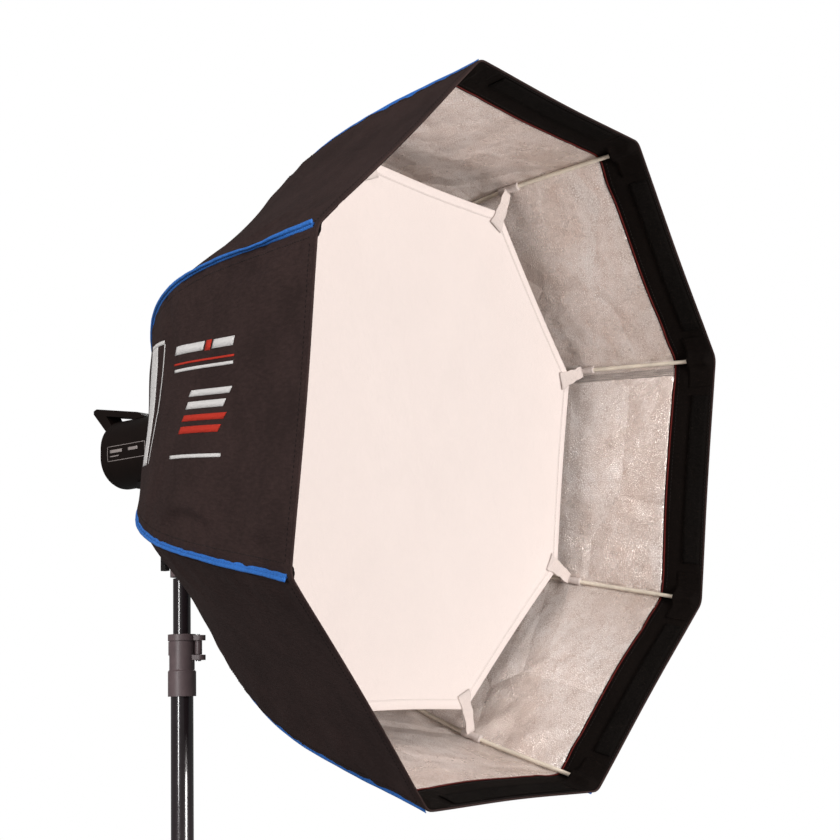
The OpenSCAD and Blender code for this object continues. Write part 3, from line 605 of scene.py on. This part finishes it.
def hook_strip(k):
    """Hook tape on the lip of side k."""
    ts = [share_at(HOOK_FRONT + HOOK_WIDTH * i / 6) for i in range(7)]
    vs = [-HOOK_HALF + 2 * HOOK_HALF * j / 40 for j in range(41)]
    rows, back = ([[on_side(k, v, t, out) for v in vs] for t in ts] for out in (-0.0030, -0.0042))
    return rows, back, [[(v + k, t * SEAM_RUN) for v in vs] for t in ts]


patch_meshes("hook_strips", [hook_strip(k) for k in range(SIDES)], HOOK, slot="hook",
             replaces=["hook_tape"])

# Printed stripes: from and to across the panel in metres, from and to along it as shares of the
# seam, and how much further back the far end lies than the near one
WHITE_BARS = (
    (0.0645, 0.0560, 0.225, 0.305, 0.006), (0.0645, 0.0560, 0.340, 0.470, 0.006),
    (0.0415, 0.0385, 0.225, 0.470, 0), (0.018, 0.012, 0.230, 0.385, 0.01),
    (0.007, 0.000, 0.250, 0.395, 0.01), (-0.0445, -0.048, 0.245, 0.450, 0),
    (0.070, -0.050, 0.600, 0.668, 0.045), (0.070, -0.050, 0.560, 0.565, 0.070),
    (0.074, 0.070, 0.530, 0.645, 0.0))
RED_BARS = (
    (0.065, 0.055, 0.312, 0.333, 0.006), (0.0475, 0.0455, 0.222, 0.475, 0),
    (-0.006, -0.012, 0.245, 0.405, 0.01), (-0.017, -0.024, 0.260, 0.415, 0.01))


def print_bar(v0, v1, t0, t1, lean):
    """A printed bar on the panel, a hair above the cloth."""
    nv = max(2, int(abs(v1 - v0) / 0.004))
    nt = max(2, int(abs(t1 - t0) * SEAM_RUN / 0.006))

    def grid(out):
        return [[on_side(PRINTED, v0 + (v1 - v0) * j / nv,
                         t0 + (t1 - t0) * i / nt + lean * (j / nv - 0.5), out)
                 for j in range(nv + 1)] for i in range(nt + 1)]

    uv = [[(j / nv * (v1 - v0), i / nt * (t1 - t0) * SEAM_RUN) for j in range(nv + 1)]
          for i in range(nt + 1)]
    return grid(0.0004), grid(0.0001), uv


patch_meshes("print_white", [print_bar(*bar) for bar in WHITE_BARS], WHITE_INK, slot="black_cloth")
patch_meshes("print_red", [print_bar(*bar) for bar in RED_BARS], RED_INK, slot="black_cloth")

# ---- Seams -------------------------------------------------------------------------


def corner_path(k, ts, out):
    """(point, sideways, outwards) along corner k."""
    a = corner_angle(k)
    side = direction(-sin(a), cos(a), 0)
    path = []
    for t in ts:
        p, s = seam(t, out)
        q = optical(p.x * cos(a), p.x * sin(a), p.y)
        path.append((q, side, direction(-s.y * cos(a), -s.y * sin(a), s.x)))
    return path


TAPE_STEPS = 110
T_TAPE = share_at(0.007)
tape_ts = [T_TAPE + (T_TAIL - T_TAPE) * i / TAPE_STEPS for i in range(TAPE_STEPS + 1)]
# How far each tape lies over, how much further at its front end, and how far it twists behind that
LEAN = (0.3, -0.2, -1.3, -0.15, 0.45, 1.7, 0.2, -0.3)
FLOP = (0.4, 0.5, -0.3, -0.9, 0.8, 0.2, -0.5, 0.6)
TWIST = (0.3, -0.5, 0.2, 0.5, 1.1, -0.3, 0.6, -0.4)


def tape_path(k):
    """Line of the binding tape on corner k; its outward direction leans and wanders."""
    path = []
    for i, (q, side, o) in enumerate(corner_path(k, tape_ts, -0.0022)):
        w = i / TAPE_STEPS
        slow = noise.noise(Vector((w * 7, k * 5.1, 2.0)))
        quick = noise.noise(Vector((w * 30, k * 3.3, 5.0)))
        lean = LEAN[k] + 0.35 * slow + 0.12 * quick
        lean += FLOP[k] * exp(-((w / 0.09) ** 2)) + TWIST[k] * exp(-(((w - 0.17) / 0.06) ** 2))
        wander = 0.0006 * noise.noise(Vector((w * 40, k, 8.0)))
        path.append((q + side * wander, side, (o + side * lean).normalized()))
    return path


def tape_section(w):
    """Folded tape with a groove along each face; it stands lower towards the back."""
    high = 0.0069 - 0.0016 * w
    return [(-0.0005, 0), (-0.0013, 0.0012), (-0.0011, high * 0.40), (-0.0002, high * 0.50),
            (-0.0011, high * 0.60), (-0.0013, high * 0.85), (-0.0006, high), (0.0006, high),
            (0.0013, high * 0.85), (0.0011, high * 0.60), (0.0002, high * 0.50), (0.0011, high * 0.40),
            (0.0013, 0.0012), (0.0005, 0)]


tapes = [tape_path(k) for k in range(SIDES)]
tube_mesh("binding_tapes", tapes, tape_section, BINDING, "softbox", slot="binding",
          replaces=["seam_binding"])
sewn = []
for tape in tapes:
    for (q, side, o), (q2, _, _) in zip(tape, tape[1:]):
        for sign in (-1, 1):
            sewn.append((q + o * 0.0026 + side * 0.00075 * sign, q2 - q, side * sign))
stitches("binding_stitches", sewn, BINDING, slot="binding")

sewn = []
for k in range(SIDES):
    for sign in (-1, 1):
        for i in range(130):
            t = 0.02 + 0.94 * i / 130
            v = sign * max(0.0, panel_side(k, seam(t)[0].x)[2] / 2 - 0.002)
            a, b = on_side(k, v, t), on_side(k, v, t + 0.004)
            sewn.append((a, b - a, panel_normal(k)))
HEM_ROWS = ((share_at(0.009), 0.0, 1), (share_at(0.044), -0.0026, -1), (share_at(0.0035), -0.0026, -1))
for k in range(SIDES):
    for j in range(62):
        v = -0.14 + 0.28 * j / 62
        for t, out, facing in HEM_ROWS:
            a, b = on_side(k, v, t, out), on_side(k, v + 0.003, t, out)
            sewn.append((a, b - a, panel_normal(k) * facing))
stitches("shell_stitches", sewn, THREAD, slot="black_cloth")

# ---- Ribs, pockets and inner diffuser -----------------------------------------------

T_RIB = share_at(0.014)
rib_ts = [T_RIB + (1 - T_RIB) * i / 90 for i in range(91)]
rods, tips = [], []
for k in range(SIDES):
    path = corner_path(k, rib_ts, -RIB_IN)
    q, side, o = path[-1]
    path.append((q + (q - path[-2][0]).normalized() * 0.006, side, o))
    rods.append(path)
    q, side, o = path[0]
    d = (q - path[1][0]).normalized()
    tips.append([(q + d * along, side, o) for along in (-0.008, 0.0002, 0.0012)])
tube_mesh("ribs_bent", rods, lambda w: circle(RIB_R), ROD, "softbox", slot="ivory_rod", replaces=["ribs"])
tube_mesh("rib_tips", tips, lambda w: circle(0.0030 if w < 0.9 else 0.0022), TIP, "softbox",
          slot="black_cloth")


def at_corner(k, x, y, z):
    """Point x metres out along corner k, y beside it and z forwards, in the row frame."""
    a = corner_angle(k)
    return optical(x * cos(a) - y * sin(a), x * sin(a) + y * cos(a), z)


def rib_pocket(k):
    """Cloth patch sewn over the rod's end, open towards the back."""
    rows, back, uv = [], [], []
    for i in range(13):
        depth = 0.0025 + 0.0285 * i / 12
        p, _ = seam(share_at(depth), LINING - 0.0012)
        opening = ease((i - 8) / 4)
        front, under, tex = [], [], []
        for j in range(41):
            w = -0.034 + 0.068 * j / 40
            r = p.x - abs(w) * sin(HALF)
            bulge = exp(-(w / (0.0075 + 0.002 * opening)) ** 2) * ease(i / 2.5)
            lift = (0.0086 + 0.0010 * opening) * bulge
            lift += 0.0006 * noise.noise(Vector((w * 90, i * 0.4, k * 2.0)))
            front.append(at_corner(k, r - (lift + 0.0009), w * cos(HALF), p.y))
            under.append(at_corner(k, r - (lift + 0.0001), w * cos(HALF), p.y))
            tex.append((w, depth))
        rows.append(under)
        back.append(front)
        uv.append(tex)
    return rows, back, uv


patch_meshes("rib_patches", [rib_pocket(k) for k in range(SIDES)], LIP, slot="black_cloth",
             replaces=["rib_pockets"])


def diffuser_ring(f, dz, per_side=24):
    """One ring of the diffuser at a share f of its size, its edges drawn in between the corners."""
    pts = ring(DIFFUSER_R * f, 0.0, lambda k, s, d: -0.0022 * sin(pi * s) * f ** 3, per_side, 4, 0.020)
    out = []
    for j, q in enumerate(pts):
        angle = j / len(pts) * 2 * pi
        across, along = cos(angle) * f, sin(angle) * f
        wave = 0.0007 * noise.noise(Vector((angle * 5, f * 3.5, 1.5))) * f
        wave += 0.0016 * noise.noise(Vector((across * 1.6, along * 1.6, 7.0)))
        wave += 0.0014 * noise.noise(Vector((across * 9 + along * 1.2, along * 1.3, 11.0)))
        crease = 0.0006 * exp(-((f - 0.88) / 0.09) ** 2) * noise.noise(Vector((angle * 22, f * 4, 3.0)))
        z = DIFFUSER_Z + dz + (wave + crease) * (1 - f ** 8) - 0.0035 * (1 - f * f)
        out.append(q + direction(0, 0, z))
    return out


RINGS = 44
shares = [i / RINGS for i in range(1, RINGS + 1)]
verts, faces, uvs, edge_starts = [], [], [], []
for dz, flip in ((0.0004, False), (-0.0004, True)):
    rows = [diffuser_ring(f, dz) for f in shares]
    n = len(rows[0])
    angles = [j / n * 2 * pi for j in range(n)]
    flat = [[(f * 0.3 * cos(g), f * 0.3 * sin(g)) for g in angles] for f in shares]
    b = add_grid(verts, faces, uvs, rows, flat, True, not flip)
    c = len(verts)
    verts.append(sum(rows[0], Vector()) / n)
    uvs.append((0, 0))
    faces += [[c, b + (j + 1) % n, b + j] if flip else [c, b + j, b + (j + 1) % n] for j in range(n)]
    edge_starts.append(b + (RINGS - 1) * n)
top, under = edge_starts
faces += [[top + (j + 1) % n, top + j, under + j, under + (j + 1) % n] for j in range(n)]
white = mesh("diffuser_cloth", verts, faces, WHITE, "softbox", uvs, slot="white_cloth",
             replaces=["inner_diffuser"])

# Section of the hem: (share of the diffuser's size, forwards)
HEM = ((0.964, 0.0005), (0.970, 0.0009), (1.002, 0.0010), (1.005, 0.0), (1.002, -0.0010),
       (0.970, -0.0009), (0.964, -0.0005))
verts = [p for f, dz in HEM for p in diffuser_ring(f, dz)]
mesh("diffuser_hem", verts, [q[::-1] for q in band_faces(len(HEM), n)], WHITE, "softbox",
     [(j / n * 1.95, i * 0.004) for i in range(len(HEM)) for j in range(n)], slot="white_cloth")
edge = diffuser_ring(0.970, 0.0011, 56)
sewn = [(p, edge[(j + 1) % len(edge)] - p, direction(0, 0, 1)) for j, p in enumerate(edge)]
stitches("diffuser_stitches", sewn, WHITE, slot="white_cloth")

# Straps and sleeves that tie the diffuser to the ribs
T_LOOP = share_at(DIFFUSER_DEPTH)
STRAP_START = DIFFUSER_R - 0.020
STRAP_END = seam(T_LOOP, -RIB_IN)[0].x - 0.0042


def strap(k):
    """Strap from the diffuser's corner k out to its rod, wider at the diffuser."""
    rows, back, uv = [], [], []
    for i in range(15):
        f = i / 14
        x = STRAP_START + (STRAP_END - STRAP_START) * f
        half = 0.0072 + 0.0006 * sin(f * 17 + k) + 0.0040 * (1 - f) ** 2
        front, under, tex = [], [], []
        for j in range(13):
            y = half * (j / 6 - 1)
            w = 0.0012 * noise.noise(Vector((x * 90, y * 90, k))) + 0.0014 * sin(pi * f)
            front.append(at_corner(k, x, y, DIFFUSER_Z + 0.0019 + w))
            under.append(at_corner(k, x, y, DIFFUSER_Z + 0.0009 + w))
            tex.append((x, y))
        rows.append(front)
        back.append(under)
        uv.append(tex)
    return back, rows, uv


patch_meshes("diffuser_straps", [strap(k) for k in range(SIDES)], TABS, slot="white_cloth",
             replaces=["diffuser_loops"])


def sleeve_section(w):
    """Cloth sleeve round a rod, pinched in the middle and hanging a little on its inner side."""
    r = 0.0044 * (1 - 0.10 * exp(-((w - 0.5) / 0.12) ** 2))
    out = []
    for j in range(24):
        g = 2 * pi * j / 24
        rr = r + 0.00025 * noise.noise(Vector((w * 14, cos(g) * 2, sin(g) * 2)))
        x, y = rr * cos(g), rr * sin(g)
        out.append((x, y * 1.25 if y < 0 else y))
    return out


sleeve_ts = [T_LOOP + (i / 16 - 0.5) * 0.052 for i in range(17)]
sleeves = [corner_path(k, sleeve_ts, -RIB_IN) for k in range(SIDES)]
tube_mesh("rib_sleeves", sleeves, sleeve_section, TABS, "softbox", slot="white_cloth")

# Gathered elastic band round the speed ring: (radius, forwards) of its section
COLLAR = ((0.0766, 0.0446), (0.0778, 0.0450), (0.0780, 0.0480), (0.0779, 0.0510), (0.0780, 0.0540),
          (0.0779, 0.0560), (0.0766, 0.0570))
COLLAR_STEPS, GATHERS = 360, 72
verts = []
for r, z in COLLAR:
    for j in range(COLLAR_STEPS):
        g = 2 * pi * j / COLLAR_STEPS
        uneven = noise.noise(Vector((cos(g) * 9, sin(g) * 9, z * 60)))
        gather = 0.0004 * sin(g * GATHERS) + 0.0003 * uneven
        verts.append(optical((r + gather) * cos(g), (r + gather) * sin(g), z))
mesh("elastic_collar", verts, band_faces(len(COLLAR), COLLAR_STEPS), SHELL, "softbox",
     [(j / COLLAR_STEPS * 0.49, i * 0.003) for i in range(len(COLLAR)) for j in range(COLLAR_STEPS)],
     slot="black_cloth", replaces=["rear_collar"])

# ---- Hard parts ----------------------------------------------------------------------

FINISH = {
    SCREEN: ["display_window"],
    RED: ["power_rocker"],
    GREY: ["mode_button"],
    PHOSPHOR: ["led_module"],
    FROST: ["glass_dome"],
    STEEL: ["mount_insert", "lamp_mount_ring", "lamp_lock_slider", "lamp_screws", "tilt_bolt", "spigot",
            "upper_pin", "lower_pin", "leg_pins"],
    ALU: ["speed_ring", "insert_retainer", "heat_sink"],
    LAMP: ["lamp_housing", "lamp_rear_cover", "lamp_front_plate", "lamp_handle"],
    DARK_ALU: ["tilt_foot"],
    TUBE: ["top_tube", "middle_tube", "column_tube", "leg_1", "leg_2", "leg_3", "brace_1", "brace_2",
           "brace_3"],
    CLAMP: ["upper_clamp", "upper_lever", "lower_clamp", "lower_lever", "tilt_bracket", "brace_collar",
            "leg_collar"],
    BLACK: ["ring_lock_knob", "fan_rotor", "fan_frame", "dimmer_knob", "power_inlet", "tilt_lever",
            "spigot_knob", "column_plug", "leg_collar_knob"],
    RUBBER: ["foot_1", "foot_2", "foot_3"],
}
for mat, names in FINISH.items():
    for name in names:
        me = NODES[name].data
        me.materials.clear()
        me.materials.append(mat.m)

# Label on the near side of the lamp: an outline with plain bars, as (y, y, z, z) in the lamp frame
LABEL_Y, LABEL_Z = (-0.012, 0.0075), (-0.0965, -0.0245)
LINE = 0.0007


def lamp_side(y):
    """Half the housing's width at height y."""
    off = max(0.0, abs(y - 0.002) - 0.006)
    return 0.001 + math.sqrt(0.039 ** 2 - off ** 2)


def label(y0, y1, z0, z1):
    def grid(lift):
        ys = [y0 + (y1 - y0) * j / 6 for j in range(7)]
        return [[lamp(-(lamp_side(y) + lift), y, z0 + (z1 - z0) * i / 8) for y in ys] for i in range(9)]

    return grid(0.00025), grid(0.00005), [[(j * 0.001, i * 0.004) for j in range(7)] for i in range(9)]


(y0, y1), (z0, z1) = LABEL_Y, LABEL_Z
marks = ((y0, y0 + LINE, z0, z1), (y1 - LINE, y1, z0, z1), (y0, y1, z0, z0 + LINE),
         (y0, y1, z1 - LINE, z1), (-0.0015, 0.0025, z0 + 0.005, z0 + 0.028),
         (-0.0065, -0.0052, z0 + 0.005, z0 + 0.022), (-0.0015, 0.0025, z0 + 0.040, z0 + 0.058))
patch_meshes("lamp_label", [label(*m) for m in marks], LABEL_INK, "head", slot="grey_plastic")

# ---- Floor and light -------------------------------------------------------------------

# The floor glows a little and throws no light on the object, like a lit paper sweep
bpy.ops.mesh.primitive_circle_add(vertices=96, radius=4.5, fill_type="NGON", location=(0, 0, -0.0005))
floor = bpy.context.object
floor.name = "floor"
paint = Mat("floor_paper", (0.83, 0.82, 0.81), 0.8)
paint.color(paint.ramp(paint.noise(1.5, 4), (0.3, (0.80, 0.79, 0.78)), (0.7, (0.86, 0.85, 0.84))))
paint.bump(paint.noise(250, 3), 0.1, 0.0005)
paint.b.inputs["Emission Color"].default_value = (1, 0.99, 0.98, 1)
paint.b.inputs["Emission Strength"].default_value = 0.38
floor.data.materials.append(paint.m)
floor.visible_diffuse = floor.visible_glossy = False


def area_light(name, where, to, size, power, spread, color=(1, 1, 1), stretch=None):
    """A round light, or an upright strip size wide and stretch high, aimed at a point."""
    data = bpy.data.lights.new(name, "AREA")
    data.spread = rad(spread)
    data.size, data.energy, data.color = size, power, color
    data.shape = "RECTANGLE" if stretch else "DISK"
    if stretch:
        data.size_y = stretch
    ob = bpy.data.objects.new(name, data)
    ob.location = where
    ob.rotation_euler = (Vector(to) - Vector(where)).to_track_quat("-Z", "Y").to_euler()
    scene.collection.objects.link(ob)


area_light("key", (-0.15, -3.4, 1.2), (0, -0.5, 1.45), 1.2, 22, 80, (1, 0.97, 0.95))
area_light("fill", (-2.1, -1.4, 3.0), (0, -0.4, 1.5), 0.6, 4, 80, (1, 0.98, 0.97))
area_light("left", (-3.1, -0.5, 1.95), (0, -0.1, 1.6), 0.25, 13, 80, stretch=2.2)
area_light("rim", (2.2, 1.6, 2.4), (0, 0, 1.2), 1.0, 10, 100)

# World: white behind the object, dimmer as a light on it
world = bpy.data.worlds.new("studio")
scene.world = world
world.use_nodes = True
tree = world.node_tree
background = tree.nodes["Background"]
background.inputs["Color"].default_value = (1, 1, 1, 1)
light_path = tree.nodes.new("ShaderNodeLightPath")
level = tree.nodes.new("ShaderNodeMapRange")
level.inputs["To Min"].default_value, level.inputs["To Max"].default_value = 0.17, 1.0
tree.links.new(light_path.outputs["Is Camera Ray"], level.inputs["Value"])
tree.links.new(level.outputs[0], background.inputs["Strength"])
scene.view_settings.view_transform = "Standard"
